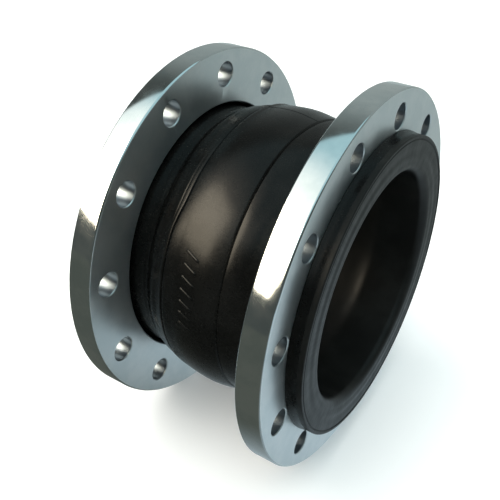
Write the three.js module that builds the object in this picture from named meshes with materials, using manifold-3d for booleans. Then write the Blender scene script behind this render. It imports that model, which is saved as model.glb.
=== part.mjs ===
// Single-sphere rubber expansion joint, nominal bore 200, with two floating steel flanges.
//
// Millimetres. The pipe axis is X, +Z is up, and the origin is the middle of the joint on its
// axis. End A is at -X and end B at +X. The moulded rubber wall is built from its real layers:
// a liner, two cord plies and a cover. Along X the wall is cut into six rings, which slide,
// shear and tilt against each other where the real wall stretches. Each end holds a bead:
// a hoop of steel wire, its fabric wrap and a rubber filler.
import * as THREE from 'three';
import { mergeVertices } from 'three/addons/utils/BufferGeometryUtils.js';
import Module from 'manifold-3d';

// ---- Driving dimensions -------------------------------------------------------------------

const FACE_TO_FACE = 210;        // free length over the two rubber sealing faces
const BORE_RADIUS = 102.5;       // inside of the liner at each end
const ARCH_HEIGHT = 17.5;        // rise of the liner from the bore to the top of the arch

const LINER = 3.5;               // wall of the liner
const PLY = 1.5;                 // thickness of one layer of cord fabric
const COVER_NECK = 8.1;          // wall of the cover where it passes through a flange
const COVER_CROWN = 4.1;         // wall of the cover at the top of the arch
const COVER_BEAD = 3.1;          // cover left over the plies behind the bead, measured radially
const FIT = 0.3;                 // gap between two pieces that are bonded or pressed together

const RAISED_HEIGHT = 14;        // sealing face above the outer face of its flange
const FACE_RUBBER = 4.5;         // thickness of the rubber sealing face
const RIM_WALL = 4.2;            // cover outside the end of the plies, at the sealing face
const RIM_TAPER = 1;             // how much wider the raised rim is at the flange
const RIM_CHAMFER = 1.5;         // rounded outer edge of the sealing face
const BORE_ROUND = 8;            // rounded inner edge of the sealing face

const FLANGE_THICKNESS = 22;
const NECK_CLEARANCE = 3;        // radial gap between the neck and the bore of its flange
const SEAT_DEPTH = 8;            // depth of the 45 degree seat that the bead pulls into
const BOLT_HOLE_RADIUS = 11;
const BOLT_COUNT = 12;
const BOLT_LAND = 1;             // steel between the raised rim and the edge of a bolt hole
const BOLT_EDGE = 22.5;          // bolt circle to the rim of the flange
const FLANGE_CHAMFER = 1.2;
const BOLT_PHASE_A = 19.8;       // degrees from +Y to the first bolt hole, flange A
const BOLT_PHASE_B = 16.3;       // degrees from +Y to the first bolt hole, flange B

const NECK_LENGTH = 12;          // neck between the flange and the first cut in the wall
const SHOULDER_LENGTH = 26;      // length of a shoulder ring
const CROWN_INSET = 7;           // from the cut beside the crown to the raised edge of its band
const CROWN_SAG = 3.5;           // fall of the crown band from its middle to its edge
const CROWN_STEP = 0.5;          // height of the raised edge of the crown band
const ARCH_TAIL = 5;             // how far the arch runs out past the first cut

const WRAP_RADIUS = 4.6;         // outside of the fabric wrapped round the wire hoop
const WRAP = 1.1;                // thickness of that fabric
const WRAP_OPENING = 80;         // degrees left open where the wrap is folded shut

const RUBBER_SIDES = 24;
const FLANGE_SIDES = 36;
const HOLE_SIDES = 12;
const CORE_SIDES = 6;
const WRAP_STEPS = 6;
const BORE_STEPS = 3;

// ---- Places along X, on the +X half -------------------------------------------------------

const END = FACE_TO_FACE / 2;
const FLANGE_OUTER = END - RAISED_HEIGHT;
const FLANGE_INNER = FLANGE_OUTER - FLANGE_THICKNESS;
const SEAT_START = FLANGE_OUTER - SEAT_DEPTH;
const NECK_CUT = FLANGE_INNER - NECK_LENGTH;
const CROWN_CUT = NECK_CUT - SHOULDER_LENGTH;
const BAND_EDGE = CROWN_CUT - CROWN_INSET;
const ARCH_FLAT = BAND_EDGE / 2;
const ARCH_END = NECK_CUT + ARCH_TAIL;
const FACE_BACK = END - FACE_RUBBER;
const PLY_FRONT = FACE_BACK - FIT;
const PLY_BACK = PLY_FRONT - PLY;
const BEAD_FRONT = PLY_BACK - FIT;

// ---- Radii --------------------------------------------------------------------------------

const LINER_TOP = LINER;
const INNER_PLY_FOOT = LINER_TOP + FIT;
const INNER_PLY_TOP = INNER_PLY_FOOT + PLY;
const OUTER_PLY_FOOT = INNER_PLY_TOP + FIT;
const OUTER_PLY_TOP = OUTER_PLY_FOOT + PLY;
const COVER_FOOT = OUTER_PLY_TOP + FIT;

const NECK_RADIUS = BORE_RADIUS + COVER_FOOT + COVER_NECK;
const CROWN_RADIUS = BORE_RADIUS + ARCH_HEIGHT + COVER_FOOT + COVER_CROWN;
const BAND_EDGE_RADIUS = CROWN_RADIUS - CROWN_SAG;
const SHOULDER_RADIUS = BAND_EDGE_RADIUS - CROWN_STEP;

const SEAT_LINE = NECK_RADIUS - SEAT_START;        // the bead's back is the line r = x + SEAT_LINE
const FLARE_LINE = SEAT_LINE - COVER_BEAD;         // the plies flare out along r = x + FLARE_LINE
const FLARE_TOP = BEAD_FRONT + FLARE_LINE;
const RIM_TIP_RADIUS = FLARE_TOP + RIM_WALL;
const RIM_BASE_RADIUS = RIM_TIP_RADIUS + RIM_TAPER;

const FLANGE_BORE_RADIUS = NECK_RADIUS + NECK_CLEARANCE;
const SEAT_RADIUS = FLANGE_BORE_RADIUS + SEAT_DEPTH;
const BOLT_CIRCLE_RADIUS = RIM_BASE_RADIUS + BOLT_LAND + BOLT_HOLE_RADIUS;
const FLANGE_RADIUS = BOLT_CIRCLE_RADIUS + BOLT_EDGE;

// ---- Materials ----------------------------------------------------------------------------

function material(color, roughness, metalness) {
  return new THREE.MeshStandardMaterial({ color, roughness, metalness });
}

const zincSteel = material(0xaab6bd, 0.3, 1.0);
const coverRubber = material(0x232425, 0.5, 0.0);
const linerRubber = material(0x1a1b1b, 0.6, 0.0);
const cordFabric = material(0x8d7b57, 0.8, 0.0);
const wrapFabric = material(0x6f6552, 0.85, 0.0);
const fillerRubber = material(0x2c2a28, 0.7, 0.0);
const wireSteel = material(0xa9835a, 0.4, 1.0);

// ---- Shape helpers ------------------------------------------------------------------------

// Turns an outline of [x, radius] points round the X axis. The outline runs anticlockwise on
// the +X half; side -1 gives its mirror image. The flats, not the corners, lie on the radius.
function turned(outline, side, sides) {
  const ordered = side > 0 ? [...outline].reverse() : outline;
  const flatToCorner = 1 / Math.cos(Math.PI / sides);
  const points = ordered.map(([x, radius]) => new THREE.Vector2(radius * flatToCorner, side * x));
  points.push(points[0].clone());
  const geometry = new THREE.LatheGeometry(points, sides, Math.PI / sides);
  geometry.rotateZ(-Math.PI / 2);
  return geometry;
}

function smooth(t) {
  const clamped = Math.min(Math.max(t, 0), 1);
  return clamped * clamped * (3 - 2 * clamped);
}

// Inner surface of the liner at distance x from the middle.
function linerRadius(x) {
  const rise = smooth((ARCH_END - x) / (ARCH_END - ARCH_FLAT));
  return BORE_RADIUS + ARCH_HEIGHT * rise;
}

// Outer surface of the cover on the raised crown band.
function bandRadius(x) {
  return CROWN_RADIUS - CROWN_SAG * (x / BAND_EDGE) ** 2;
}

// Outer surface of the cover from the edge of the crown band to the neck.
function shoulderRadius(x) {
  const rise = smooth((ARCH_END - x) / (ARCH_END - BAND_EDGE));
  return NECK_RADIUS + (SHOULDER_RADIUS - NECK_RADIUS) * rise;
}

// The layer between two depths, both measured outward from the inner surface of the liner.
function layer(stations, foot, top) {
  const inner = stations.map((x) => [x, linerRadius(x) + foot]);
  const outer = stations.map((x) => [x, linerRadius(x) + top]);
  return [...inner, ...outer.reverse()];
}

function arc(cx, cr, radius, fromDegrees, toDegrees, steps) {
  return Array.from({ length: steps + 1 }, (_, i) => {
    const angle = THREE.MathUtils.degToRad(fromDegrees + ((toDegrees - fromDegrees) * i) / steps);
    return [cx + radius * Math.cos(angle), cr + radius * Math.sin(angle)];
  });
}

// ---- Middle of the wall: shoulder and crown rings -----------------------------------------

const CROWN_STATIONS = [FIT / 2, ARCH_FLAT, BAND_EDGE, CROWN_CUT - FIT / 2];
const SHOULDER_STATIONS = [CROWN_CUT + FIT / 2, (CROWN_CUT + NECK_CUT) / 2, NECK_CUT - FIT / 2];

function crownCover() {
  const inner = CROWN_STATIONS.map((x) => [x, linerRadius(x) + COVER_FOOT]);
  const shoulderEnd = CROWN_STATIONS.at(-1);
  return [
    ...inner,
    [shoulderEnd, shoulderRadius(shoulderEnd)],
    [BAND_EDGE, SHOULDER_RADIUS],
    [BAND_EDGE - CROWN_STEP, bandRadius(BAND_EDGE - CROWN_STEP)],
    [ARCH_FLAT, bandRadius(ARCH_FLAT)],
    [CROWN_STATIONS[0], CROWN_RADIUS],
  ];
}

function shoulderCover() {
  const inner = SHOULDER_STATIONS.map((x) => [x, linerRadius(x) + COVER_FOOT]);
  const outer = SHOULDER_STATIONS.map((x) => [x, shoulderRadius(x)]);
  return [...inner, ...outer.reverse()];
}

const RINGS = [
  { name: 'crown', stations: CROWN_STATIONS, cover: crownCover() },
  { name: 'shoulder', stations: SHOULDER_STATIONS, cover: shoulderCover() },
];

// ---- Ends of the wall: neck, bead and sealing face ----------------------------------------

const NECK_START = NECK_CUT + FIT / 2;

function endLiner() {
  const top = BORE_RADIUS + LINER_TOP;
  const roundX = END - BORE_ROUND;
  const roundR = BORE_RADIUS + BORE_ROUND;
  return [
    [NECK_START, linerRadius(NECK_START)],
    [ARCH_END, BORE_RADIUS],
    ...arc(roundX, roundR, BORE_ROUND, -90, 0, BORE_STEPS),
    [END, RIM_TIP_RADIUS - RIM_CHAMFER],
    [END - RIM_CHAMFER, RIM_TIP_RADIUS],
    [FACE_BACK, RIM_TIP_RADIUS],
    [FACE_BACK, top],
    [ARCH_END, top],
    [NECK_START, linerRadius(NECK_START) + LINER_TOP],
  ];
}

function endInnerPly() {
  const foot = BORE_RADIUS + INNER_PLY_FOOT;
  const top = BORE_RADIUS + INNER_PLY_TOP;
  const lift = linerRadius(NECK_START) - BORE_RADIUS;
  return [
    [NECK_START, foot + lift],
    [ARCH_END, foot],
    [PLY_FRONT, foot],
    [PLY_FRONT, FLARE_TOP - FIT],
    [PLY_BACK, FLARE_TOP - FIT],
    [PLY_BACK, top],
    [ARCH_END, top],
    [NECK_START, top + lift],
  ];
}

// A gap or a thickness laid across the 45 degree flare, measured radially.
function acrossFlare(distance) {
  return distance * Math.SQRT2;
}

function endOuterPly() {
  const foot = BORE_RADIUS + OUTER_PLY_FOOT;
  const top = BORE_RADIUS + OUTER_PLY_TOP;
  const lift = linerRadius(NECK_START) - BORE_RADIUS;
  const outerLine = FLARE_LINE - acrossFlare(FIT);
  const innerLine = outerLine - acrossFlare(PLY);
  return [
    [NECK_START, foot + lift],
    [ARCH_END, foot],
    [foot - innerLine, foot],
    [BEAD_FRONT, BEAD_FRONT + innerLine],
    [BEAD_FRONT, BEAD_FRONT + outerLine],
    [top - outerLine, top],
    [ARCH_END, top],
    [NECK_START, top + lift],
  ];
}

function endCover() {
  const foot = BORE_RADIUS + COVER_FOOT;
  const lift = linerRadius(NECK_START) - BORE_RADIUS;
  const faceGap = FLANGE_OUTER + FIT;
  return [
    [NECK_START, foot + lift],
    [ARCH_END, foot],
    [foot - FLARE_LINE, foot],
    [BEAD_FRONT, FLARE_TOP],
    [PLY_FRONT, FLARE_TOP],
    [PLY_FRONT, RIM_TIP_RADIUS],
    [faceGap + RIM_CHAMFER, RIM_BASE_RADIUS],
    [faceGap, RIM_BASE_RADIUS],
    [faceGap, faceGap + SEAT_LINE],
    [SEAT_START, NECK_RADIUS],
    [ARCH_END, NECK_RADIUS],
    [NECK_START, shoulderRadius(NECK_START)],
  ];
}

const FLARE_INSIDE = FLARE_LINE - acrossFlare(FIT + PLY + FIT);
const CORE_X = BEAD_FRONT - FIT - WRAP_RADIUS;
const CORE_R = CORE_X + FLARE_INSIDE - acrossFlare(WRAP_RADIUS + FIT);

function beadWrap() {
  const from = -180 + WRAP_OPENING / 2;
  const to = 180 - WRAP_OPENING / 2;
  const outside = arc(CORE_X, CORE_R, WRAP_RADIUS, from, to, WRAP_STEPS);
  const inside = arc(CORE_X, CORE_R, WRAP_RADIUS - WRAP, from, to, WRAP_STEPS);
  return [...outside, ...inside.reverse()];
}

// The wire hoop fits the flats of the wrap's inside with the usual gap.
function beadCore() {
  const wrapFlat = Math.cos(THREE.MathUtils.degToRad((360 - WRAP_OPENING) / WRAP_STEPS / 2));
  const radius = (WRAP_RADIUS - WRAP) * wrapFlat - FIT;
  return arc(CORE_X, CORE_R, radius, 0, 360, CORE_SIDES).slice(1);
}

function beadFiller() {
  const foot = BORE_RADIUS + INNER_PLY_TOP + FIT;
  const behindWrap = CORE_X - WRAP_RADIUS - FIT;
  const underWrap = CORE_R - WRAP_RADIUS - FIT;
  return [
    [foot - FLARE_INSIDE, foot],
    [BEAD_FRONT, foot],
    [BEAD_FRONT, underWrap],
    [behindWrap, underWrap],
    [behindWrap, behindWrap + FLARE_INSIDE],
  ];
}

const END_PIECES = [
  { name: 'liner_end', outline: endLiner(), material: linerRubber },
  { name: 'inner_ply_end', outline: endInnerPly(), material: cordFabric },
  { name: 'outer_ply_end', outline: endOuterPly(), material: cordFabric },
  { name: 'cover_end', outline: endCover(), material: coverRubber },
  { name: 'bead_core', outline: beadCore(), material: wireSteel },
  { name: 'bead_wrap', outline: beadWrap(), material: wrapFabric },
  { name: 'bead_filler', outline: beadFiller(), material: fillerRubber },
];

// ---- Flanges ------------------------------------------------------------------------------

const wasm = await Module();
wasm.setup();

function toSolid(geometry) {
  const bare = geometry.clone();
  bare.deleteAttribute('normal');
  bare.deleteAttribute('uv');
  const merged = mergeVertices(bare, 1e-4);
  const vertProperties = new Float32Array(merged.attributes.position.array);
  const triVerts = new Uint32Array(merged.index.array);
  return new wasm.Manifold(new wasm.Mesh({ numProp: 3, vertProperties, triVerts }));
}

function toGeometry(solid) {
  const mesh = solid.getMesh();
  const geometry = new THREE.BufferGeometry();
  geometry.setAttribute('position', new THREE.BufferAttribute(new Float32Array(mesh.vertProperties), 3));
  geometry.setIndex(new THREE.BufferAttribute(new Uint32Array(mesh.triVerts), 1));
  const flat = geometry.toNonIndexed();
  flat.computeVertexNormals();
  return flat;
}

function flangeOutline() {
  const c = FLANGE_CHAMFER;
  return [
    [FLANGE_INNER, FLANGE_BORE_RADIUS + c],
    [FLANGE_INNER + c, FLANGE_BORE_RADIUS],
    [SEAT_START, FLANGE_BORE_RADIUS],
    [FLANGE_OUTER, SEAT_RADIUS],
    [FLANGE_OUTER, FLANGE_RADIUS - c],
    [FLANGE_OUTER - c, FLANGE_RADIUS],
    [FLANGE_INNER + c, FLANGE_RADIUS],
    [FLANGE_INNER, FLANGE_RADIUS - c],
  ];
}

function boltHole(side, degrees) {
  const length = FLANGE_THICKNESS + 2 * BOLT_LAND;
  const cornerRadius = BOLT_HOLE_RADIUS / Math.cos(Math.PI / HOLE_SIDES);
  const hole = new THREE.CylinderGeometry(cornerRadius, cornerRadius, length, HOLE_SIDES);
  const angle = THREE.MathUtils.degToRad(degrees);
  hole.rotateZ(-Math.PI / 2);
  hole.translate(
    side * (FLANGE_INNER + FLANGE_OUTER) / 2,
    BOLT_CIRCLE_RADIUS * Math.cos(angle),
    BOLT_CIRCLE_RADIUS * Math.sin(angle),
  );
  return hole;
}

function flange(side, phase) {
  let solid = toSolid(turned(flangeOutline(), side, FLANGE_SIDES));
  for (let i = 0; i < BOLT_COUNT; i += 1) {
    solid = solid.subtract(toSolid(boltHole(side, phase + (360 * i) / BOLT_COUNT)));
  }
  return toGeometry(solid);
}

// ---- Assembly -----------------------------------------------------------------------------

const joint = new THREE.Group();

function addPiece(name, geometry, pieceMaterial) {
  const mesh = new THREE.Mesh(geometry, pieceMaterial);
  mesh.name = name;
  joint.add(mesh);
}

for (const { end, side, phase } of [
  { end: 'a', side: -1, phase: BOLT_PHASE_A },
  { end: 'b', side: 1, phase: BOLT_PHASE_B },
]) {
  for (const { name, stations, cover } of RINGS) {
    const place = `${name}_${end}`;
    const liner = layer(stations, 0, LINER_TOP);
    const innerPly = layer(stations, INNER_PLY_FOOT, INNER_PLY_TOP);
    const outerPly = layer(stations, OUTER_PLY_FOOT, OUTER_PLY_TOP);
    addPiece(`liner_${place}`, turned(liner, side, RUBBER_SIDES), linerRubber);
    addPiece(`inner_ply_${place}`, turned(innerPly, side, RUBBER_SIDES), cordFabric);
    addPiece(`outer_ply_${place}`, turned(outerPly, side, RUBBER_SIDES), cordFabric);
    addPiece(`cover_${place}`, turned(cover, side, RUBBER_SIDES), coverRubber);
  }
  for (const piece of END_PIECES) {
    addPiece(`${piece.name}_${end}`, turned(piece.outline, side, RUBBER_SIDES), piece.material);
  }
  addPiece(`flange_${end}`, flange(side, phase), zincSteel);
}

export default joint;
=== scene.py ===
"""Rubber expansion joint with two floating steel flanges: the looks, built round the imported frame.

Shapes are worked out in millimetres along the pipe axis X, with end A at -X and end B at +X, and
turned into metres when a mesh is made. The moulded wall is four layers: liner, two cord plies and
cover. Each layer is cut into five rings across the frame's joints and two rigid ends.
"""

import math

import bmesh
import bpy
import numpy as np
from mathutils import Matrix, Vector


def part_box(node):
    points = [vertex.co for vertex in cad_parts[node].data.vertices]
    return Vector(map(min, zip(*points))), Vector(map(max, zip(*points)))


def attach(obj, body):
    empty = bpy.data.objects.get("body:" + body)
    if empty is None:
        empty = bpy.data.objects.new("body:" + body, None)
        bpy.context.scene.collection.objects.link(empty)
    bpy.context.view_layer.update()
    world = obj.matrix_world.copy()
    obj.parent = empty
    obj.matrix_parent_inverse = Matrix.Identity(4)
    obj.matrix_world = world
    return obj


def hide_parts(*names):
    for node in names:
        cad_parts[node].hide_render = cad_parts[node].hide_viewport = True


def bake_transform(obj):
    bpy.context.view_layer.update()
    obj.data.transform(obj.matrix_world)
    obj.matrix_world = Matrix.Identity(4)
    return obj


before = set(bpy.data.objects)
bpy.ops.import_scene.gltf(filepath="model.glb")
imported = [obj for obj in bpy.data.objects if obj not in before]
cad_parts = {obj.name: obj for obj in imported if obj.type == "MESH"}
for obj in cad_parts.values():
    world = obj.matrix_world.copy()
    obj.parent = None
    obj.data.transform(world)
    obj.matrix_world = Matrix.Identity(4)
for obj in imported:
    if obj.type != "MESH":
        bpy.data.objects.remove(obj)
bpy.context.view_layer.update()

MM = 0.001


# ---- Sizes read from the frame, in millimetres --------------------------------------------

def box_mm(node):
    low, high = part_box(node)
    return low / MM, high / MM


flange_low, flange_high = box_mm("flange_b")
liner_end_low, liner_end_high = box_mm("liner_end_b")
cover_end_low, cover_end_high = box_mm("cover_end_b")
shoulder_low, shoulder_high = box_mm("cover_shoulder_b")
crown_low, crown_high = box_mm("cover_crown_b")

END = liner_end_high.x
FLANGE_INNER = flange_low.x
FLANGE_OUTER = flange_high.x
FLANGE_RADIUS = flange_high.z
RIM_TIP_RADIUS = liner_end_high.z
RIM_BASE_RADIUS = cover_end_high.z
CROWN_RADIUS = crown_high.z
NECK_CUT = (shoulder_high.x + cover_end_low.x) / 2
CROWN_CUT = (crown_high.x + shoulder_low.x) / 2

# ---- Sizes shared with the CAD source, in millimetres -------------------------------------

LINER = 3.5
PLY = 1.5
FIT = 0.3
COVER_NECK = 8.1
COVER_CROWN = 4.1
COVER_BEAD = 3.1
ARCH_HEIGHT = 17.5
FACE_RUBBER = 4.5
BORE_ROUND = 8.0
ARCH_FLAT = 12.0
ARCH_TAIL = 5.0
CROWN_SAG = 3.5
CROWN_STEP = 0.5
SEAT_DEPTH = 8.0
NECK_CLEARANCE = 3.0
FLANGE_CHAMFER = 1.2
BOLT_EDGE = 22.5
BOLT_HOLE_RADIUS = 11.0
BOLT_COUNT = 12
BOLT_PHASES = {"a": 19.8, "b": 16.3}
WRAP_RADIUS = 4.6
WRAP = 1.1
WRAP_OPENING = 80.0

INNER_PLY_FOOT = LINER + FIT
OUTER_PLY_FOOT = INNER_PLY_FOOT + PLY + FIT
COVER_FOOT = OUTER_PLY_FOOT + PLY + FIT
BORE_RADIUS = CROWN_RADIUS - COVER_CROWN - COVER_FOOT - ARCH_HEIGHT
NECK_RADIUS = BORE_RADIUS + COVER_FOOT + COVER_NECK
SHOULDER_RADIUS = CROWN_RADIUS - CROWN_SAG - CROWN_STEP
ARCH_END = NECK_CUT + ARCH_TAIL
SEAT_START = FLANGE_OUTER - SEAT_DEPTH
FLANGE_BORE_RADIUS = NECK_RADIUS + NECK_CLEARANCE
BOLT_CIRCLE_RADIUS = FLANGE_RADIUS - BOLT_EDGE

FACE_BACK = END - FACE_RUBBER
PLY_FRONT = FACE_BACK - FIT
BEAD_FRONT = PLY_FRONT - PLY - FIT
SEAT_LINE = NECK_RADIUS - SEAT_START
FLARE_LINE = SEAT_LINE - COVER_BEAD
FLARE_TOP = BEAD_FRONT + FLARE_LINE

# ---- Where the wall bends: limits of the rings, each centred on its joint -------------------

SHEAR_END = 16.0
TILT_END = 2 * CROWN_CUT - SHEAR_END
SLIDE_END = 2 * NECK_CUT - TILT_END

ZONES = [
    ("slide_a", -SLIDE_END, -TILT_END, "end_a", "shoulder_a"),
    ("tilt_a", -TILT_END, -SHEAR_END, "shoulder_a", "crown_a"),
    ("shear", -SHEAR_END, SHEAR_END, "crown_a", "crown_b"),
    ("tilt_b", SHEAR_END, TILT_END, "crown_b", "shoulder_b"),
    ("slide_b", TILT_END, SLIDE_END, "shoulder_b", "end_b"),
]

# ---- Fineness of the meshes ----------------------------------------------------------------

RUBBER_SEGMENTS = 240
PLY_SEGMENTS = 144
FLANGE_SEGMENTS = 288
HOLE_SEGMENTS = 64
WIRE_SEGMENTS = 144
SHARP_ANGLE = math.radians(32)


# ---- Camera and lights ----------------------------------------------------------------------

# Metres, degrees down from level and round from +Y, and millimetres of lens and sensor.
CAMERA_POSITION = (0.2705, -0.4605, 0.3896)
CAMERA_DOWN = 36.18
CAMERA_HEADING = 32.85
CAMERA_LENS = 51.49
CAMERA_SENSOR = 36.0
CAMERA_NEAR = 0.01

scene = bpy.context.scene
scene.view_settings.view_transform = "Standard"


def link(obj):
    scene.collection.objects.link(obj)
    return obj


def make_camera():
    data = bpy.data.cameras.new("camera")
    data.lens = CAMERA_LENS
    data.sensor_width = CAMERA_SENSOR
    data.clip_start = CAMERA_NEAR
    camera = link(bpy.data.objects.new("camera", data))
    camera.location = CAMERA_POSITION
    camera.rotation_euler = (math.radians(90 - CAMERA_DOWN), 0, math.radians(CAMERA_HEADING))
    scene.camera = camera


make_camera()


def area_light(name, centre, across, size, power, color):
    """A soft box that faces the origin from centre; across is the direction of its width."""
    data = bpy.data.lights.new(name, "AREA")
    data.shape = "RECTANGLE"
    data.size, data.size_y = size
    data.energy = power
    data.color = color
    light = link(bpy.data.objects.new(name, data))
    back = Vector(centre).normalized()
    side = Vector(across)
    side = (side - side.dot(back) * back).normalized()
    up = back.cross(side)
    turn = Matrix((side, up, back)).transposed().to_4x4()
    light.matrix_world = Matrix.Translation(Vector(centre)) @ turn
    return light


# Places and sizes in metres, powers in watts.
WINDOW_CENTRE = (-0.90, -1.17, 1.065)
WINDOW_ACROSS = (0.793, -0.609, 0)
WINDOW_SIZE = (1.32, 1.29)
WINDOW_POWER = 55
WINDOW_COLOR = (1.0, 0.87, 0.66)
FILL_CENTRE = (-0.35, -0.25, 1.7)
FILL_ACROSS = (1, 0, 0)
FILL_SIZE = (2.6, 2.6)
FILL_POWER = 62
FILL_COLOR = (1.0, 0.97, 0.93)


def make_lights():
    """A warm window that shows in reflections only, and a fill that no reflection shows."""
    window = area_light("window", WINDOW_CENTRE, WINDOW_ACROSS, WINDOW_SIZE, WINDOW_POWER, WINDOW_COLOR)
    window.visible_diffuse = False
    fill = area_light("fill", FILL_CENTRE, FILL_ACROSS, FILL_SIZE, FILL_POWER, FILL_COLOR)
    fill.visible_glossy = False


make_lights()


# ---- Shader helpers -------------------------------------------------------------------------

class Nodes:
    """Adds nodes to one shader tree and links them."""

    def __init__(self, tree):
        self.tree = tree

    def add(self, kind, **settings):
        node = self.tree.nodes.new("ShaderNode" + kind)
        for key, value in settings.items():
            setattr(node, key, value)
        return node

    def put(self, value, socket):
        """Sets a socket to a number or colour, or links another node's output to it."""
        if isinstance(value, bpy.types.NodeSocket):
            self.tree.links.new(value, socket)
        else:
            socket.default_value = value

    def math(self, operation, *values):
        node = self.add("Math", operation=operation)
        for socket, value in zip(node.inputs, values):
            self.put(value, socket)
        return node.outputs[0]

    def vector_math(self, operation, *values):
        node = self.add("VectorMath", operation=operation)
        for socket, value in zip(node.inputs, values):
            self.put(value, socket)
        return node.outputs["Value"] if operation in ("LENGTH", "DOT_PRODUCT") else node.outputs[0]

    def step(self, value, low, high, to_low=0.0, to_high=1.0):
        """Smooth step of value from low to high, mapped to to_low .. to_high."""
        node = self.add("MapRange", interpolation_type="SMOOTHSTEP")
        for socket, number in zip(node.inputs, (value, low, high, to_low, to_high)):
            self.put(number, socket)
        return node.outputs[0]

    def mix(self, factor, first, second):
        node = self.add("Mix", data_type="RGBA")
        self.put(factor, node.inputs[0])
        self.put(first, node.inputs[6])
        self.put(second, node.inputs[7])
        return node.outputs[2]

    def noise(self, vector, scale, detail=3.0, roughness=0.5):
        """Noise with about scale blobs to the metre."""
        node = self.add("TexNoise")
        self.put(vector, node.inputs["Vector"])
        node.inputs["Scale"].default_value = scale
        node.inputs["Detail"].default_value = detail
        node.inputs["Roughness"].default_value = roughness
        return node.outputs[0]

    def combine(self, x, y, z):
        node = self.add("CombineXYZ")
        for socket, value in zip(node.inputs, (x, y, z)):
            self.put(value, socket)
        return node.outputs[0]

    def bump(self, height, strength, distance, normal=None):
        """Bump of distance metres, laid on top of an earlier normal if there is one."""
        node = self.add("Bump")
        node.inputs["Strength"].default_value = strength
        node.inputs["Distance"].default_value = distance
        self.put(height, node.inputs["Height"])
        if normal is not None:
            self.put(normal, node.inputs["Normal"])
        return node.outputs[0]


# ---- World ----------------------------------------------------------------------------------

# Pairs are the two ends of a smooth step in a direction's share of +Y, of up, or of another direction.
ROOM_DARK = (0.075, 0.085, 0.08, 1)
ROOM_PALE = (0.35, 0.40, 0.39, 1)
ROOM_STEP = (0.3, 0.85)
SKY_FAR = (0.5, 0.75, 0.8, 1)
SKY_NEAR = (1.9, 1.85, 1.7, 1)
SKY_MIDDLE = (-0.6, -0.6, 0.5)
SKY_MIDDLE_STEP = (0.52, 0.98)
SKY_SIDE = (0.42, -0.635, 0.65)
SKY_SIDE_STEP = (0.13, 0.17)
SKY_HEIGHT_STEP = (0.5, 0.6)


def make_world():
    """A grey room, paler towards +Y, with a bright sky high up on every side but -X +Y."""
    world = bpy.data.worlds.new("studio")
    world.use_nodes = True
    scene.world = world
    nodes = Nodes(world.node_tree)
    background = world.node_tree.nodes["Background"]
    direction = nodes.add("TexCoord").outputs["Generated"]
    split = nodes.add("SeparateXYZ")
    nodes.put(direction, split.inputs[0])
    room = nodes.mix(nodes.step(split.outputs[1], *ROOM_STEP), ROOM_DARK, ROOM_PALE)
    toward_middle = nodes.vector_math("DOT_PRODUCT", direction, SKY_MIDDLE)
    sky_tint = nodes.mix(nodes.step(toward_middle, *SKY_MIDDLE_STEP), SKY_FAR, SKY_NEAR)
    toward_side = nodes.vector_math("DOT_PRODUCT", direction, SKY_SIDE)
    past_edge = nodes.step(toward_side, *SKY_SIDE_STEP)
    high = nodes.step(split.outputs[2], *SKY_HEIGHT_STEP)
    sky = nodes.math("MULTIPLY", past_edge, high)
    nodes.put(nodes.mix(sky, room, sky_tint), background.inputs["Color"])
    background.inputs["Strength"].default_value = 1.0


make_world()


# ---- Stage ----------------------------------------------------------------------------------

def plain_material(name, color, roughness, emission):
    material = bpy.data.materials.new(name)
    material.use_nodes = True
    shader = material.node_tree.nodes["Principled BSDF"]
    shader.inputs["Base Color"].default_value = (*color, 1)
    shader.inputs["Roughness"].default_value = roughness
    shader.inputs["Emission Color"].default_value = (*color, 1)
    shader.inputs["Emission Strength"].default_value = emission
    return material


def new_material(name, metallic=0.0, specular=0.5):
    material = bpy.data.materials.new(name)
    material.use_nodes = True
    shader = material.node_tree.nodes["Principled BSDF"]
    shader.inputs["Metallic"].default_value = metallic
    shader.inputs["Specular IOR Level"].default_value = specular
    return material, Nodes(material.node_tree), shader


FLOOR_RADIUS = 3.0
FLOOR_SIDES = 96
FLOOR_COLOR = (0.88, 0.88, 0.88)
FLOOR_ROUGHNESS = 0.8
FLOOR_EMISSION = 0.2
BACKDROP_COLOR = (0.93, 0.93, 0.93)
BACKDROP_EMISSION = 1.0
BACKDROP_SIDES = (64, 32)
# The floor that reflections see glows with painted colours in place of a lit floor: how far it lies over
# the real one, and its colours by place in metres.
MIRRORED_LIFT = 0.0002
MIRRORED_NEAR = (0.55, 0.67, 0.73, 1)
MIRRORED_FAR = (0.43, 0.50, 0.50, 1)
MIRRORED_FAR_STEP = (0.0, 0.4)
MIRRORED_DARK = (0.10, 0.11, 0.095, 1)
MIRRORED_DARK_AWAY = (-0.5, -0.86)
MIRRORED_DARK_STEP = (-0.03, 0.19)


def stage_disc(name, level):
    mesh = bpy.data.meshes.new(name)
    form = bmesh.new()
    bmesh.ops.create_circle(form, cap_ends=True, radius=FLOOR_RADIUS, segments=FLOOR_SIDES)
    bmesh.ops.translate(form, verts=form.verts, vec=(0, 0, level))
    form.to_mesh(mesh)
    return link(bpy.data.objects.new(name, mesh))


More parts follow.
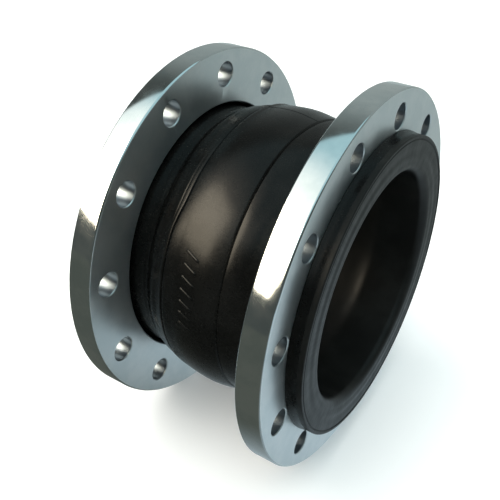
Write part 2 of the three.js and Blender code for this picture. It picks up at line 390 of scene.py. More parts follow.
def reflected_floor_material():
    """Glows mid grey, dark towards -X -Y, as a painted reflection of a lit floor and a dark side of the
    room: what the steel and rubber mirror below the horizon.
    """
    material, nodes, shader = new_material("floor in reflections", specular=0.0)
    shader.inputs["Base Color"].default_value = (0, 0, 0, 1)
    shader.inputs["Emission Strength"].default_value = 1.0
    split = nodes.add("SeparateXYZ")
    nodes.put(nodes.add("TexCoord").outputs["Object"], split.inputs[0])
    x, y, _ = split.outputs
    away_x, away_y = MIRRORED_DARK_AWAY
    away = nodes.math("ADD", nodes.math("MULTIPLY", x, away_x), nodes.math("MULTIPLY", y, away_y))
    lit = nodes.mix(nodes.step(y, *MIRRORED_FAR_STEP), MIRRORED_NEAR, MIRRORED_FAR)
    tint = nodes.mix(nodes.step(away, *MIRRORED_DARK_STEP), lit, MIRRORED_DARK)
    nodes.put(tint, shader.inputs["Emission Color"])
    return material


def make_stage():
    """A pale floor, its glowing mid-grey twin painted for mirror rays only, and a dome that only the
    camera sees.
    """
    level = -FLANGE_RADIUS * MM
    floor = stage_disc("floor", level)
    floor_material = plain_material("pale floor", FLOOR_COLOR, FLOOR_ROUGHNESS, FLOOR_EMISSION)
    floor.data.materials.append(floor_material)
    floor.visible_glossy = False
    mirrored = stage_disc("floor_in_reflections", level + MIRRORED_LIFT)
    mirrored.data.materials.append(reflected_floor_material())
    mirrored.visible_camera = False
    mirrored.visible_diffuse = False
    mirrored.visible_shadow = False
    mesh = bpy.data.meshes.new("backdrop")
    form = bmesh.new()
    around, up = BACKDROP_SIDES
    bmesh.ops.create_uvsphere(form, u_segments=around, v_segments=up, radius=FLOOR_RADIUS)
    form.to_mesh(mesh)
    backdrop = link(bpy.data.objects.new("backdrop", mesh))
    mesh.materials.append(plain_material("pale backdrop", BACKDROP_COLOR, 1.0, BACKDROP_EMISSION))
    backdrop.visible_glossy = False
    backdrop.visible_diffuse = False
    backdrop.visible_shadow = False
    backdrop.visible_transmission = False


make_stage()


# ---- Materials --------------------------------------------------------------------------------

def pipe_coordinates(nodes):
    """Position on the piece, and its distance along and from the pipe axis, in metres."""
    position = nodes.add("TexCoord").outputs["Object"]
    split = nodes.add("SeparateXYZ")
    nodes.put(position, split.inputs[0])
    along, y, z = split.outputs
    radius = nodes.vector_math("LENGTH", nodes.combine(0.0, y, z))
    turn = nodes.math("ARCTAN2", z, y)
    return position, along, radius, turn


WALL_FACING = 0.5     # surfaces that face along the pipe by less than this are hole walls
HOLE_MARGIN = 1.0     # how far round a bolt hole they are looked for, in millimetres


def drilled(nodes, radius):
    """1 on the walls of the bolt holes, 0 elsewhere on a flange."""
    facing = nodes.add("SeparateXYZ")
    nodes.put(nodes.add("TexCoord").outputs["Normal"], facing.inputs[0])
    wall = nodes.math("LESS_THAN", nodes.math("ABSOLUTE", facing.outputs[0]), WALL_FACING)
    reach = BOLT_HOLE_RADIUS + HOLE_MARGIN
    outside = nodes.math("GREATER_THAN", radius, (BOLT_CIRCLE_RADIUS - reach) * MM)
    inside = nodes.math("LESS_THAN", radius, (BOLT_CIRCLE_RADIUS + reach) * MM)
    return nodes.math("MULTIPLY", wall, nodes.math("MULTIPLY", outside, inside))


FACE_ROUGHNESS = 0.33
FACE_METAL = 0.93     # the dull plating of the faces scatters a little light
RIM_ROUGHNESS = 0.085
HOLE_ROUGHNESS = 0.36
RIM_STEP = (1.5, 0.7)  # from the face's finish to the rim's, in millimetres inside the rim
ZINC_DARK = (0.61, 0.66, 0.67, 1)
ZINC_PALE = (0.70, 0.735, 0.74, 1)
ZINC_SPOT = (0.42, 0.46, 0.47, 1)
ZINC_SPOT_STRENGTH = 0.12
# Painted shade: the bolt-hole walls take this darker colour in place of the shade inside the holes.
ZINC_HOLE_SHADE = (0.22, 0.26, 0.30, 1)


def zinc_steel():
    """Turned steel with zinc plating: a bright rim, duller faces with fine rings, faint clouds, and
    painted shade on the bolt-hole walls.
    """
    material, nodes, shader = new_material("zinc_steel", metallic=1.0)
    position, along, radius, _ = pipe_coordinates(nodes)
    clouds = nodes.noise(position, 38, 5, 0.6)
    spangle = nodes.noise(position, 420, 3, 0.55)
    tint = nodes.mix(nodes.step(clouds, 0.35, 0.65), ZINC_DARK, ZINC_PALE)
    dark_spots = nodes.step(nodes.noise(position, 150, 6, 0.7), 0.66, 0.8, 0.0, ZINC_SPOT_STRENGTH)
    plated = nodes.mix(dark_spots, tint, ZINC_SPOT)
    on_rim = nodes.step(radius, (FLANGE_RADIUS - RIM_STEP[0]) * MM, (FLANGE_RADIUS - RIM_STEP[1]) * MM)
    in_hole = drilled(nodes, radius)
    # The hole walls are mixed to a darker colour here: painted shade.
    nodes.put(nodes.mix(in_hole, plated, ZINC_HOLE_SHADE), shader.inputs["Base Color"])
    nodes.put(nodes.step(on_rim, 0, 1, FACE_METAL, 1.0), shader.inputs["Metallic"])
    polish = nodes.step(on_rim, 0, 1, FACE_ROUGHNESS, RIM_ROUGHNESS)
    haze = nodes.step(clouds, 0.3, 0.75, -0.02, 0.06)
    duller = nodes.math("MULTIPLY", in_hole, HOLE_ROUGHNESS - FACE_ROUGHNESS)
    roughness = nodes.math("ADD", nodes.math("ADD", polish, haze), duller)
    nodes.put(roughness, shader.inputs["Roughness"])
    rings = nodes.noise(nodes.combine(along, radius, 0.0), 900, 2, 0.6)
    ringed = nodes.bump(rings, 0.1, 0.00005)
    nodes.put(nodes.bump(spangle, 0.01, 0.0001, ringed), shader.inputs["Normal"])
    return material


PATCH_SHARE = 0.6     # how much of the rubber's change of gloss is patches, the rest being round marks


def rubber(name, dark, pale, roughness, grain, specular=0.5):
    """Moulded rubber: fine grain, soft mottling and a faint bloom."""
    material, nodes, shader = new_material(name, specular=specular)
    position, along, radius, turn = pipe_coordinates(nodes)
    bloom = nodes.noise(position, 22, 6, 0.62)
    nodes.put(nodes.mix(nodes.step(bloom, 0.4, 0.75), dark, pale), shader.inputs["Base Color"])
    round_marks = nodes.noise(nodes.combine(nodes.math("MULTIPLY", along, 6.0), radius, turn), 60, 4)
    patches = nodes.noise(position, 75, 4, 0.6)
    drawn_share = nodes.math("MULTIPLY", round_marks, 1 - PATCH_SHARE)
    mixed = nodes.math("ADD", drawn_share, nodes.math("MULTIPLY", patches, PATCH_SHARE))
    nodes.put(nodes.step(mixed, 0.35, 0.65, *roughness), shader.inputs["Roughness"])
    fine = nodes.noise(position, 2300, 3, 0.6)
    soft = nodes.noise(position, 210, 3, 0.5)
    grained = nodes.bump(fine, grain, 0.00008)
    nodes.put(nodes.bump(soft, 0.07, 0.0002, grained), shader.inputs["Normal"])
    return material


CORD_PITCH = 0.0014
WEAVE_PITCH = 0.0009


def cord_fabric():
    """Rubber-coated tyre cord, laid in two directions across the pipe."""
    material, nodes, shader = new_material("cord_fabric", specular=0.3)
    position, along, _, turn = pipe_coordinates(nodes)
    around = nodes.math("MULTIPLY", turn, BORE_RADIUS * MM)
    pitch = 2 * math.pi / CORD_PITCH
    weave = None
    for direction in (1.0, -1.0):
        across = nodes.math("ADD", along, nodes.math("MULTIPLY", around, direction))
        cords = nodes.math("SINE", nodes.math("MULTIPLY", across, pitch))
        weave = cords if weave is None else nodes.math("MAXIMUM", weave, cords)
    tint = nodes.mix(nodes.step(weave, -0.6, 1.0), (0.05, 0.042, 0.03, 1), (0.33, 0.26, 0.16, 1))
    nodes.put(tint, shader.inputs["Base Color"])
    fuzz = nodes.noise(position, 900, 3)
    nodes.put(nodes.step(fuzz, 0.3, 0.7, 0.7, 0.9), shader.inputs["Roughness"])
    nodes.put(nodes.bump(weave, 0.5, 0.0003), shader.inputs["Normal"])
    return material


def bead_wire():
    """Bronze-coated steel wire, with drawing marks along each wire."""
    material, nodes, shader = new_material("bead_wire", metallic=1.0)
    position, along, radius, _ = pipe_coordinates(nodes)
    drawn = nodes.noise(nodes.combine(nodes.math("MULTIPLY", along, 3.0), radius, 0.0), 2500, 2)
    tint = nodes.mix(nodes.noise(position, 120, 4), (0.47, 0.30, 0.16, 1), (0.70, 0.50, 0.30, 1))
    nodes.put(tint, shader.inputs["Base Color"])
    nodes.put(nodes.step(drawn, 0.3, 0.7, 0.25, 0.5), shader.inputs["Roughness"])
    nodes.put(nodes.bump(drawn, 0.2, 0.0001), shader.inputs["Normal"])
    return material


def wrap_fabric():
    """Square-woven fabric wound round the wire hoop."""
    material, nodes, shader = new_material("wrap_fabric", specular=0.25)
    position, along, radius, turn = pipe_coordinates(nodes)
    around = nodes.math("MULTIPLY", turn, NECK_RADIUS * MM)
    pitch = 2 * math.pi / WEAVE_PITCH
    warp = nodes.math("SINE", nodes.math("MULTIPLY", around, pitch))
    weft = nodes.math("SINE", nodes.math("MULTIPLY", nodes.math("ADD", along, radius), pitch))
    weave = nodes.math("MULTIPLY", warp, weft)
    tint = nodes.mix(nodes.step(weave, -0.8, 0.8), (0.07, 0.062, 0.05, 1), (0.24, 0.2, 0.15, 1))
    nodes.put(tint, shader.inputs["Base Color"])
    nodes.put(nodes.step(nodes.noise(position, 700, 3), 0.3, 0.7, 0.75, 0.95), shader.inputs["Roughness"])
    nodes.put(nodes.bump(weave, 0.5, 0.0003), shader.inputs["Normal"])
    return material


MATERIALS = {
    "zinc_steel": zinc_steel(),
    "cover_rubber": rubber(
        "cover_rubber", (0.0022, 0.0023, 0.0022, 1), (0.0055, 0.0056, 0.0052, 1), (0.24, 0.30), 0.12, 0.19
    ),
    # The liner's colours are its rubber's own, lifted by about two fifths as painted light, so the inside
    # of the bore and the sealing face look lit.
    "liner_rubber": rubber(
        "liner_rubber", (0.0065, 0.0069, 0.0066, 1), (0.0140, 0.0148, 0.0140, 1), (0.33, 0.42), 0.25, 0.15
    ),
    "filler_rubber": rubber(
        "filler_rubber", (0.016, 0.014, 0.012, 1), (0.03, 0.027, 0.024, 1), (0.55, 0.7), 0.5
    ),
    "cord_fabric": cord_fabric(),
    "bead_wire": bead_wire(),
    "wrap_fabric": wrap_fabric(),
}


# ---- Mesh helpers -------------------------------------------------------------------------------

def smooth(t):
    t = np.clip(t, 0, 1)
    return t * t * (3 - 2 * t)


def hump(t):
    """1 where t is 0, falling smoothly to 0 at 1 and -1."""
    return smooth(1 - np.abs(t))


def closed_grid(name, points, slot):
    """A mesh from rows x columns of points in millimetres, closed in both directions."""
    rows, columns = points.shape[:2]
    index = np.arange(rows * columns).reshape(rows, columns)
    next_row = np.roll(index, -1, axis=0)
    right = np.roll(index, -1, axis=1)
    next_right = np.roll(next_row, -1, axis=1)
    faces = np.stack([index, right, next_right, next_row], axis=-1).reshape(-1, 4)
    mesh = bpy.data.meshes.new(name)
    mesh.from_pydata((points.reshape(-1, 3) * MM).tolist(), [], faces.tolist())
    mesh.polygons.foreach_set("use_smooth", np.ones(len(faces), bool))
    mesh.materials.append(MATERIALS[slot])
    obj = link(bpy.data.objects.new(name, mesh))
    return obj


def on_circles(x, radius, turns):
    """Points at each x and radius, all the way round the pipe axis."""
    x, radius = np.broadcast_arrays(x, radius)
    shape = (len(x), len(turns)) if x.ndim == 1 else x.shape
    x = np.broadcast_to(x[:, None] if x.ndim == 1 else x, shape)
    radius = np.broadcast_to(radius[:, None] if radius.ndim == 1 else radius, shape)
    return np.stack([x, radius * np.cos(turns), radius * np.sin(turns)], axis=-1)


def all_turns(segments):
    return np.arange(segments) * 2 * math.pi / segments


def rounded(outline, steps=4):
    """Corners given as (x, radius, cut) become curves that start and end cut away from them."""
    points = []
    count = len(outline)
    for i, corner in enumerate(outline):
        here = np.array(corner[:2], float)
        if len(corner) == 2:
            points.append(here)
            continue
        before = np.array(outline[i - 1][:2], float) - here
        after = np.array(outline[(i + 1) % count][:2], float) - here
        start = here + before * corner[2] / np.linalg.norm(before)
        finish = here + after * corner[2] / np.linalg.norm(after)
        for t in np.linspace(0, 1, steps + 1):
            points.append((1 - t) ** 2 * start + 2 * t * (1 - t) * here + t * t * finish)
    return np.array(points)


def turned(name, outline, side, segments, slot):
    """Turns a closed outline round the pipe axis. It runs anticlockwise on the +X half."""
    outline = np.asarray(outline, float)
    ordered = outline[::-1] if side > 0 else outline
    points = on_circles(side * ordered[:, 0], ordered[:, 1], all_turns(segments))
    obj = closed_grid(name, points, slot)
    obj.data.set_sharp_from_angle(angle=SHARP_ANGLE)
    return obj


# ---- Surfaces of the wall ------------------------------------------------------------------------

LAP_A = 27.5          # edge of the raised crown band towards end A
LAP_B = 23.5          # edge of the raised crown band towards end B
GROOVE_DEPTH = 1.0    # fine groove along each edge of the band
GROOVE_HALF = 1.2
SHOULDER_RIDGE = (-45, 7, 0.9)    # station, half width and height
SHOULDER_VALLEY = (-53, 5, 0.8)

# Each edge of the band strays towards its flange over part of the way round, in degrees from +Y to +Z.
WANDER = 3.4
WANDER_REACH = 9.0
WANDER_A_MIDDLE = 220
WANDER_A_BEFORE = 88
WANDER_A_RISE = 16
WANDER_A_AFTER = 70
WANDER_A_FALL = 60
WANDER_B_MIDDLE = 62
WANDER_B_HALF = 45

TOP_LIP = 1.3         # the band's edge at A stands up a little over the top of the joint
TOP_LIP_REACH = 3.2
TOP_LIP_DEGREES = 72
TOP_LIP_HALF = 38
SECOND_LINE = -LAP_A - 5.2    # faint line beyond the band's edge at A, part of the way round
SECOND_LINE_DEPTH = 0.25
SECOND_LINE_HALF = 0.9
SECOND_LINE_DEGREES = 125
SECOND_LINE_SPREAD = 32
BAND_SEAM_DEGREES = 79.0      # where the band's two ends meet, along the pipe
BAND_SEAM_DEPTH = 0.4
BAND_SEAM_HALF = 0.4          # in degrees
BAND_SEAM_FADE = 1.5
NICKS = ((-LAP_A, 98.7), (LAP_B, 114.9))
NICK_DEPTH = 0.7
NICK_HALF = 1.6
NICK_HALF_DEGREES = 1.7

# Unevenness of the moulding: height, waves round the pipe, slant for each millimetre along it, and shift.
WALL_WAVES = ((0.10, 3, 0.0, 1.1), (0.07, 7, 0.06, 0.0))
FLANK_WAVES = ((0.22, 9, 0.3, 0.0), (0.15, 5, 0.0, -0.2))
FLANK_MIDDLE = 44
FLANK_HALF = 16
WAVE_FADE = 8


def liner_radius(x):
    rise = smooth((ARCH_END - np.abs(x)) / (ARCH_END - ARCH_FLAT))
    return BORE_RADIUS + ARCH_HEIGHT * rise


def degrees_apart(turns, degrees):
    """Signed angle from a place on the circle, in degrees."""
    return (np.degrees(turns) - degrees + 180) % 360 - 180


def lap_wander(station, turns):
    """Shift along X of the band's edges, which aren't quite square to the pipe."""
    past_middle = degrees_apart(turns, WANDER_A_MIDDLE)
    rise = smooth((past_middle + WANDER_A_BEFORE) / WANDER_A_RISE)
    below = rise * smooth((WANDER_A_AFTER - past_middle) / WANDER_A_FALL)
    above = hump(degrees_apart(turns, WANDER_B_MIDDLE) / WANDER_B_HALF)
    at_a = hump((station + LAP_A) / WANDER_REACH)
    at_b = hump((station - LAP_B) / WANDER_REACH)
    return WANDER * (above * at_b - below * at_a)


def bump_along(station, shape):
    """A ridge round the whole pipe, from its station, half width and height."""
    middle, half, height = shape
    return height * hump((station - middle) / half)


def unevenness(waves, station, turns):
    total = 0
    for height, count, slant, shift in waves:
        total = total + height * np.sin(count * turns + slant * station + shift)
    return total


def cover_radius(station, turns):
    """Outer surface of the cover: crown band, grooved edges, shoulders and necks."""
    distance = np.abs(station)
    lap = np.where(station < 0, LAP_A, LAP_B)
    band = CROWN_RADIUS - CROWN_SAG * (distance / lap) ** 2
    fall = smooth((ARCH_END - distance) / (ARCH_END - lap))
    shoulder = NECK_RADIUS + (SHOULDER_RADIUS - NECK_RADIUS) * fall
    shoulder = shoulder + bump_along(station, SHOULDER_RIDGE) - bump_along(station, SHOULDER_VALLEY)
    radius = np.where(distance < lap, band, shoulder)
    radius = radius - GROOVE_DEPTH * hump((distance - lap) / GROOVE_HALF)
    on_top = hump(degrees_apart(turns, TOP_LIP_DEGREES) / TOP_LIP_HALF)
    radius = radius + TOP_LIP * on_top * hump((station + LAP_A - TOP_LIP_REACH) / TOP_LIP_REACH)
    part_way = hump(degrees_apart(turns, SECOND_LINE_DEGREES) / SECOND_LINE_SPREAD)
    radius = radius - SECOND_LINE_DEPTH * part_way * hump((station - SECOND_LINE) / SECOND_LINE_HALF)
    for nick_station, nick_degrees in NICKS:
        across = hump(degrees_apart(turns, nick_degrees) / NICK_HALF_DEGREES)
        radius = radius - NICK_DEPTH * across * hump((station - nick_station) / NICK_HALF)
    on_band = smooth((lap - distance) / BAND_SEAM_FADE)
    at_seam = hump(degrees_apart(turns, BAND_SEAM_DEGREES) / BAND_SEAM_HALF)
    radius = radius - BAND_SEAM_DEPTH * on_band * at_seam
    flank = hump((distance - FLANK_MIDDLE) / FLANK_HALF)
    wave = unevenness(WALL_WAVES, station, turns) + flank * unevenness(FLANK_WAVES, station, turns)
    return radius + wave * smooth((SLIDE_END - distance) / WAVE_FADE)


def cover_outside(station, turns):
    return on_circles(station + lap_wander(station, turns), cover_radius(station, turns), turns)


def plain_surface(depth):
    """The surface that lies this deep outward from the inside of the liner."""
    def surface(station, turns):
        station = np.broadcast_to(station, np.broadcast(station, turns).shape)
        return on_circles(station, liner_radius(station) + depth, turns)
    return surface


LAYERS = {
    "liner": (plain_surface(0), plain_surface(LINER), "liner_rubber", PLY_SEGMENTS),
    "inner_ply": (
        plain_surface(INNER_PLY_FOOT), plain_surface(INNER_PLY_FOOT + PLY), "cord_fabric", PLY_SEGMENTS
    ),
    "outer_ply": (
        plain_surface(OUTER_PLY_FOOT), plain_surface(OUTER_PLY_FOOT + PLY), "cord_fabric", PLY_SEGMENTS
    ),
    "cover": (plain_surface(COVER_FOOT), cover_outside, "cover_rubber", RUBBER_SEGMENTS),
}


# ---- Rings of the wall across the joints ----------------------------------------------------------

# Millimetres along the pipe, but the seam's steps are degrees round it.
STATION_STEP = 2.0
DIFFERENCE = 0.02
FINE_STEPS = np.array([-1.6, -1.1, -0.7, -0.45, -0.2, 0, 0.2, 0.45, 0.7, 1.1, 1.6])
FINE_MARGIN = 0.4
SEAM_STEPS = np.array([-1.1, -0.7, -0.4, -0.25, -0.12, 0, 0.12, 0.25, 0.4, 0.7, 1.1])
SEAM_MARGIN = 0.3


def stations_between(start, end, fine):
    count = int(round((end - start) / STATION_STEP))
    places = list(np.linspace(start, end, count + 1))
    if fine:
        for lap in (SECOND_LINE, -LAP_A, LAP_B):
            if start < lap < end:
                places = [x for x in places if abs(x - lap) > FINE_STEPS[-1] + FINE_MARGIN]
                places += list(lap + FINE_STEPS)
    return np.sort(np.array(places))


def surface_normals(surface, stations, turns, outward):
    """Normals of a surface, from small steps along it and round it."""
    s = stations[:, None]
    t = turns[None, :]
    angle_step = DIFFERENCE / CROWN_RADIUS
    along = surface(s + DIFFERENCE, t) - surface(s - DIFFERENCE, t)
    around = surface(s, t + angle_step) - surface(s, t - angle_step)
    normals = np.cross(around, along)
    normals /= np.linalg.norm(normals, axis=-1, keepdims=True)
    return normals if outward else -normals


def bending_ring(layer, zone):
    """One layer of the wall between two X stations, as a closed ring; the frame's parts of the two bodies
    it meets are hidden.
    """
    name, start, end, body_before, body_after = zone
    inside, outside, slot, segments = LAYERS[layer]
    turns = all_turns(segments)
    fine = layer == "cover"
    if fine:
        near_seam = np.abs(degrees_apart(turns, BAND_SEAM_DEGREES)) < SEAM_STEPS[-1] + SEAM_MARGIN
        at_seam = np.radians(BAND_SEAM_DEGREES + SEAM_STEPS)
        turns = np.sort(np.concatenate([turns[~near_seam], at_seam]))
    outer = stations_between(start, end, fine)
    inner = stations_between(start, end, False)[::-1]
    top = outside(outer[:, None], turns[None, :])
    foot = inside(inner[:, None], turns[None, :])
    obj = closed_grid(f"{layer}_{name}", np.concatenate([top, foot]), slot)

    vertex_normals = np.concatenate([
        surface_normals(outside, outer, turns, True),
        surface_normals(inside, inner, turns, False),
    ])
    next_row = np.roll(vertex_normals, -1, axis=0)
    corners = np.stack([
        vertex_normals,
        np.roll(vertex_normals, -1, axis=1),
        np.roll(next_row, -1, axis=1),
        next_row,
    ], axis=2)
    corners[len(outer) - 1] = (1, 0, 0)
    corners[-1] = (-1, 0, 0)
    obj.data.normals_split_custom_set(corners.reshape(-1, 3).tolist())

    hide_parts(f"{layer}_{body_before}", f"{layer}_{body_after}")
    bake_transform(obj)


for layer_name in LAYERS:
    for wall_zone in ZONES:
        bending_ring(layer_name, wall_zone)


# ---- Raised mould marks on the crown ---------------------------------------------------------------

MARK_START = -11.5
MARK_END = 2.5
MARK_MIDDLE = (MARK_START + MARK_END) / 2
MARK_WIDTH = 2.6
MARK_HEIGHT = 0.75
MARK_SINK = 0.4
MARK_SECTION = 10
MARK_POINTS = 10
MARK_TAPER = 0.35
# The ribs' places are degrees round the crown, and their slant is degrees for each millimetre.
RIB_FIRST = 151.5
RIB_STEP = 4.6
RIB_COUNT = 7
RIB_SLANT = 0.2


def mark_stroke(form, path):
    """Adds a raised, rounded stroke along a path of (station, degrees) on the crown."""
    path = np.array(path, float)
    turns = np.radians(path[:, 1])
    radius = cover_radius(path[:, 0], turns)
    centre = np.stack([path[:, 0], radius * np.cos(turns), radius * np.sin(turns)], axis=1)
    up = np.stack([np.zeros(len(path)), np.cos(turns), np.sin(turns)], axis=1)
    along = np.gradient(centre, axis=0)
    along /= np.linalg.norm(along, axis=1, keepdims=True)
    across = np.cross(along, up)
    rings = []
    for i in range(len(path)):
        taper = MARK_TAPER if i in (0, len(path) - 1) else 1.0
        ring = []
        for k in range(MARK_SECTION):
            angle = 2 * math.pi * k / MARK_SECTION
            lift = MARK_HEIGHT if math.sin(angle) > 0 else MARK_SINK
            place = centre[i] + taper * (
                across[i] * math.cos(angle) * MARK_WIDTH / 2 + up[i] * math.sin(angle) * lift
            )
            ring.append(form.verts.new(Vector(place) * MM))
        rings.append(ring)
    for first, second in zip(rings, rings[1:]):
        for k in range(MARK_SECTION):
            k2 = (k + 1) % MARK_SECTION
            form.faces.new((first[k], first[k2], second[k2], second[k]))
    form.faces.new(rings[0][::-1])
    form.faces.new(rings[-1])


def mould_marks():
    """A row of identical slanted ribs on the crown, which can't be read as text."""
    form = bmesh.new()
    stations = np.linspace(MARK_START, MARK_END, MARK_POINTS)
    for count in range(RIB_COUNT):
        middle = RIB_FIRST + RIB_STEP * count
        mark_stroke(form, [(x, middle + RIB_SLANT * (x - MARK_MIDDLE)) for x in stations])
    mesh = bpy.data.meshes.new("mould_marks")
    bmesh.ops.recalc_face_normals(form, faces=form.faces)
    form.to_mesh(mesh)
    mesh.polygons.foreach_set("use_smooth", np.ones(len(mesh.polygons), bool))
    mesh.materials.append(MATERIALS["cover_rubber"])
    obj = link(bpy.data.objects.new("mould_marks", mesh))
    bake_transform(obj)


mould_marks()


# ---- Rigid ends: neck, bead and sealing face ---------------------------------------------------------

COVER_JOIN = (FACE_BACK + PLY_FRONT) / 2    # where the cover meets the liner behind the sealing face
LIP_RADIUS = RIM_TIP_RADIUS - 3.4
LIP_DROP = 0.3
LIP_GROOVE = 1.0
LIP_GROOVE_HALF = 1.1
LIP_STEP = 1.2
FACE_RIDGE_RADIUS = BORE_RADIUS + 13.5
FACE_RIDGE = 0.3
FACE_RIDGE_HALF = 5.0
FACE_HOLLOW_RADIUS = FACE_RIDGE_RADIUS + 6
FACE_HOLLOW = 0.2
BORE_SLOPE = 0.5
RIM_ROUND = 1.3
PLY_BEND = 1.2
PLY_FLARE_BEND = 1.5
PLY_EDGE = 0.4


def sealing_face(radius):
    """Where the sealing face lies along X at this radius."""
    inside_lip = smooth((LIP_RADIUS - radius) / LIP_STEP)
    ridge = hump((radius - FACE_RIDGE_RADIUS) / FACE_RIDGE_HALF)
    hollow = hump((radius - FACE_HOLLOW_RADIUS) / FACE_RIDGE_HALF)
    groove = hump((radius - LIP_RADIUS) / LIP_GROOVE_HALF)
    slope = smooth((LIP_RADIUS - radius) / (LIP_RADIUS - BORE_RADIUS - BORE_ROUND))
    face = END - LIP_DROP * inside_lip + FACE_RIDGE * ridge - FACE_HOLLOW * hollow
    return face - LIP_GROOVE * groove - BORE_SLOPE * slope


def liner_end_outline():
    top = BORE_RADIUS + LINER
    face_start = BORE_RADIUS + BORE_ROUND
    face_x = sealing_face(face_start)
    rounding = [
        (face_x - BORE_ROUND + BORE_ROUND * math.sin(a), face_start - BORE_ROUND * math.cos(a))
        for a in np.linspace(0, math.pi / 2, 12)[:-1]
    ]
    coarse = np.linspace(face_start, LIP_RADIUS - LIP_STEP - 0.2, 26)
    fine = np.linspace(LIP_RADIUS - LIP_STEP, LIP_RADIUS + LIP_STEP, 13)
    radii = np.concatenate([coarse, fine])
    face = [(sealing_face(r), r) for r in radii]
    edge = rounded([
        (END, radii[-1] + 0.1),
        (END, RIM_TIP_RADIUS, RIM_ROUND),
        (COVER_JOIN, RIM_TIP_RADIUS),
    ], 6)
    return [
        (SLIDE_END, BORE_RADIUS),
        *rounding,
        *face,
        *edge[1:],
        (COVER_JOIN, top),
        (SLIDE_END, top),
    ]


def inner_ply_end_outline():
    foot = BORE_RADIUS + INNER_PLY_FOOT
    top = foot + PLY
    rim = FLARE_TOP - FIT
    return rounded([
        (SLIDE_END, foot),
        (PLY_FRONT, foot, PLY_BEND),
        (PLY_FRONT, rim, PLY_EDGE),
        (PLY_FRONT - PLY, rim, PLY_EDGE),
        (PLY_FRONT - PLY, top, 0.5),
        (SLIDE_END, top),
    ])


def across_flare(distance):
    """A distance laid across the 45 degree flare, measured radially."""
    return distance * math.sqrt(2)


def outer_ply_end_outline():
    foot = BORE_RADIUS + OUTER_PLY_FOOT
    top = foot + PLY
    outer_line = FLARE_LINE - across_flare(FIT)
    inner_line = outer_line - across_flare(PLY)
    return rounded([
        (SLIDE_END, foot),
        (foot - inner_line, foot, PLY_FLARE_BEND),
        (BEAD_FRONT, BEAD_FRONT + inner_line, PLY_EDGE),
        (BEAD_FRONT, BEAD_FRONT + outer_line, PLY_EDGE),
        (top - outer_line, top, PLY_FLARE_BEND),
        (SLIDE_END, top),
    ])


def cover_end_outline():
    foot = BORE_RADIUS + COVER_FOOT
    back = FLANGE_OUTER + FIT
    return rounded([
        (SLIDE_END, foot),
        (foot - FLARE_LINE, foot, 1.2),
        (BEAD_FRONT, FLARE_TOP, 0.4),
        (COVER_JOIN, FLARE_TOP),
        (COVER_JOIN, RIM_TIP_RADIUS),
        (COVER_JOIN - 4.2, RIM_TIP_RADIUS - 0.1, 2.0),
        (back + 1.6, RIM_BASE_RADIUS - 0.3, 1.2),
        (back, RIM_BASE_RADIUS, 0.3),
        (back, back + SEAT_LINE, 0.6),
        (SEAT_START, NECK_RADIUS, 2.0),
        (SLIDE_END, NECK_RADIUS),
    ], 5)


FLARE_INSIDE = FLARE_LINE - across_flare(FIT + PLY + FIT)
CORE_X = BEAD_FRONT - FIT - WRAP_RADIUS
CORE_R = CORE_X + FLARE_INSIDE - across_flare(WRAP_RADIUS + FIT)


def circle_arc(radius, start, finish, steps):
    angles = np.radians(np.linspace(start, finish, steps))
    return [(CORE_X + radius * math.cos(a), CORE_R + radius * math.sin(a)) for a in angles]


def bead_wrap_outline():
    start = -180 + WRAP_OPENING / 2
    outside = circle_arc(WRAP_RADIUS, start, -start, 28)
    inside = circle_arc(WRAP_RADIUS - WRAP, -start, start, 28)
    return outside + inside


def bead_filler_outline():
    foot = BORE_RADIUS + INNER_PLY_FOOT + PLY + FIT
    behind_wrap = CORE_X - WRAP_RADIUS - FIT
    under_wrap = CORE_R - WRAP_RADIUS - FIT
    return rounded([
        (foot - FLARE_INSIDE, foot, 0.5),
        (BEAD_FRONT, foot, 0.5),
        (BEAD_FRONT, under_wrap, 0.5),
        (behind_wrap, under_wrap, 0.8),
        (behind_wrap, behind_wrap + FLARE_INSIDE, 0.5),
    ])


END_PIECES = {
    "liner_end": (liner_end_outline(), RUBBER_SEGMENTS, "liner_rubber"),
    "inner_ply_end": (inner_ply_end_outline(), PLY_SEGMENTS, "cord_fabric"),
    "outer_ply_end": (outer_ply_end_outline(), PLY_SEGMENTS, "cord_fabric"),
    "cover_end": (cover_end_outline(), RUBBER_SEGMENTS, "cover_rubber"),
    "bead_wrap": (bead_wrap_outline(), WIRE_SEGMENTS, "wrap_fabric"),
    "bead_filler": (bead_filler_outline(), PLY_SEGMENTS, "filler_rubber"),
}

WIRE_CIRCLE = 1.9     # middle of the bundle to the middle of each outer wire
WIRE_RADIUS = 0.9
WIRE_SIDES = 10


def bead_hoop(end, side):
    """Seven wires laid side by side round the pipe, one in the middle and six about it."""
    turns = all_turns(WIRE_SEGMENTS)
    centres = [(0.0, 0.0)]
    centres += [
        (WIRE_CIRCLE * math.cos(a), WIRE_CIRCLE * math.sin(a))
        for a in np.radians(np.arange(0, 360, 60))
    ]
    wires = []
    for number, (x, r) in enumerate(centres):
        angles = -side * np.arange(WIRE_SIDES) * 2 * math.pi / WIRE_SIDES
        wire_x = side * (CORE_X + x) + WIRE_RADIUS * np.cos(angles)
        wire_r = CORE_R + r + WIRE_RADIUS * np.sin(angles) * side
        points = on_circles(wire_x, wire_r, turns)
        wires.append(closed_grid(f"bead_wire_{number}_{end}", points, "bead_wire"))
    return wires


def join(name, objects):
    form = bmesh.new()
    for obj in objects:
        form.from_mesh(obj.data)
    mesh = objects[0].data.copy()
    mesh.name = name
    bmesh.ops.recalc_face_normals(form, faces=form.faces)
    form.to_mesh(mesh)
    for obj in objects:
        bpy.data.objects.remove(obj)
    return link(bpy.data.objects.new(name, mesh))


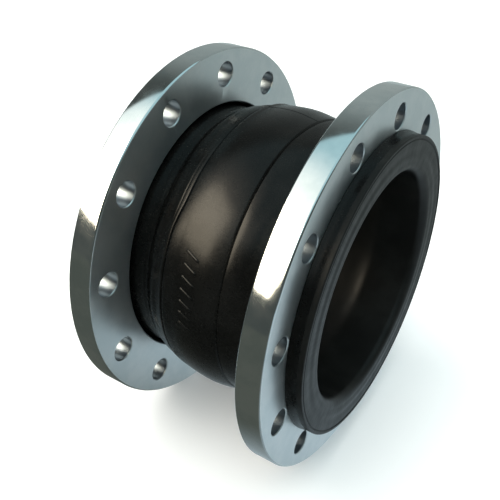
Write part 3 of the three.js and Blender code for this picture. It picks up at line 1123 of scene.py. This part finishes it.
def rigid_end(end, side):
    for piece, (outline, segments, slot) in END_PIECES.items():
        obj = turned(f"{piece}_{end}_fine", outline, side, segments, slot)
        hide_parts(f"{piece}_{end}")
        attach(obj, f"end_{end}")
    hoop = join(f"bead_core_{end}_fine", bead_hoop(end, side))
    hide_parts(f"bead_core_{end}")
    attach(hoop, f"end_{end}")


# ---- Flanges -------------------------------------------------------------------------------------------

EDGE_ROUND = 0.5
HOLE_CHAMFER = 0.7
CUT_PAST = 3.0
SEAT_ROUND = 1.0


def flange_outline():
    outer_radius = FLANGE_BORE_RADIUS + SEAT_DEPTH
    return rounded([
        (FLANGE_INNER, FLANGE_BORE_RADIUS + FLANGE_CHAMFER, EDGE_ROUND),
        (FLANGE_INNER + FLANGE_CHAMFER, FLANGE_BORE_RADIUS, EDGE_ROUND),
        (SEAT_START, FLANGE_BORE_RADIUS, SEAT_ROUND),
        (FLANGE_OUTER, outer_radius, EDGE_ROUND),
        (FLANGE_OUTER, FLANGE_RADIUS - FLANGE_CHAMFER, EDGE_ROUND),
        (FLANGE_OUTER - FLANGE_CHAMFER, FLANGE_RADIUS, EDGE_ROUND),
        (FLANGE_INNER + FLANGE_CHAMFER, FLANGE_RADIUS, EDGE_ROUND),
        (FLANGE_INNER, FLANGE_RADIUS - FLANGE_CHAMFER, EDGE_ROUND),
    ], 3)


def hole_cutter(side, phase):
    """All the bolt holes of one flange, each with a small chamfer at both faces."""
    low, high = sorted((side * FLANGE_INNER, side * FLANGE_OUTER))
    wide = BOLT_HOLE_RADIUS + HOLE_CHAMFER
    stations = [
        (low - CUT_PAST, wide),
        (low, wide),
        (low + HOLE_CHAMFER, BOLT_HOLE_RADIUS),
        (high - HOLE_CHAMFER, BOLT_HOLE_RADIUS),
        (high, wide),
        (high + CUT_PAST, wide),
    ]
    form = bmesh.new()
    for i in range(BOLT_COUNT):
        angle = math.radians(phase + 360 * i / BOLT_COUNT)
        middle = BOLT_CIRCLE_RADIUS * Vector((0, math.cos(angle), math.sin(angle)))
        rings = []
        for x, radius in stations:
            rings.append([
                form.verts.new((middle + Vector((x, radius * math.cos(a), radius * math.sin(a)))) * MM)
                for a in all_turns(HOLE_SEGMENTS)
            ])
        for first, second in zip(rings, rings[1:]):
            for k in range(HOLE_SEGMENTS):
                k2 = (k + 1) % HOLE_SEGMENTS
                form.faces.new((first[k], first[k2], second[k2], second[k]))
        form.faces.new(rings[0][::-1])
        form.faces.new(rings[-1])
    bmesh.ops.recalc_face_normals(form, faces=form.faces)
    mesh = bpy.data.meshes.new("cutter")
    form.to_mesh(mesh)
    return link(bpy.data.objects.new("cutter", mesh))


def flange(end, side):
    obj = turned(f"flange_{end}_fine", flange_outline(), side, FLANGE_SEGMENTS, "zinc_steel")
    cutter = hole_cutter(side, BOLT_PHASES[end])
    cut = obj.modifiers.new("bolt holes", "BOOLEAN")
    cut.operation = "DIFFERENCE"
    cut.solver = "EXACT"
    cut.object = cutter
    depsgraph = bpy.context.evaluated_depsgraph_get()
    mesh = bpy.data.meshes.new_from_object(obj.evaluated_get(depsgraph))
    obj.modifiers.clear()
    obj.data = mesh
    bpy.data.objects.remove(cutter)
    mesh.polygons.foreach_set("use_smooth", np.ones(len(mesh.polygons), bool))
    mesh.set_sharp_from_angle(angle=SHARP_ANGLE)
    mesh.materials.clear()
    mesh.materials.append(MATERIALS["zinc_steel"])
    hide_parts(f"flange_{end}")
    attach(obj, f"flange_{end}")


for end_name, end_side in (("a", -1), ("b", 1)):
    rigid_end(end_name, end_side)
    flange(end_name, end_side)
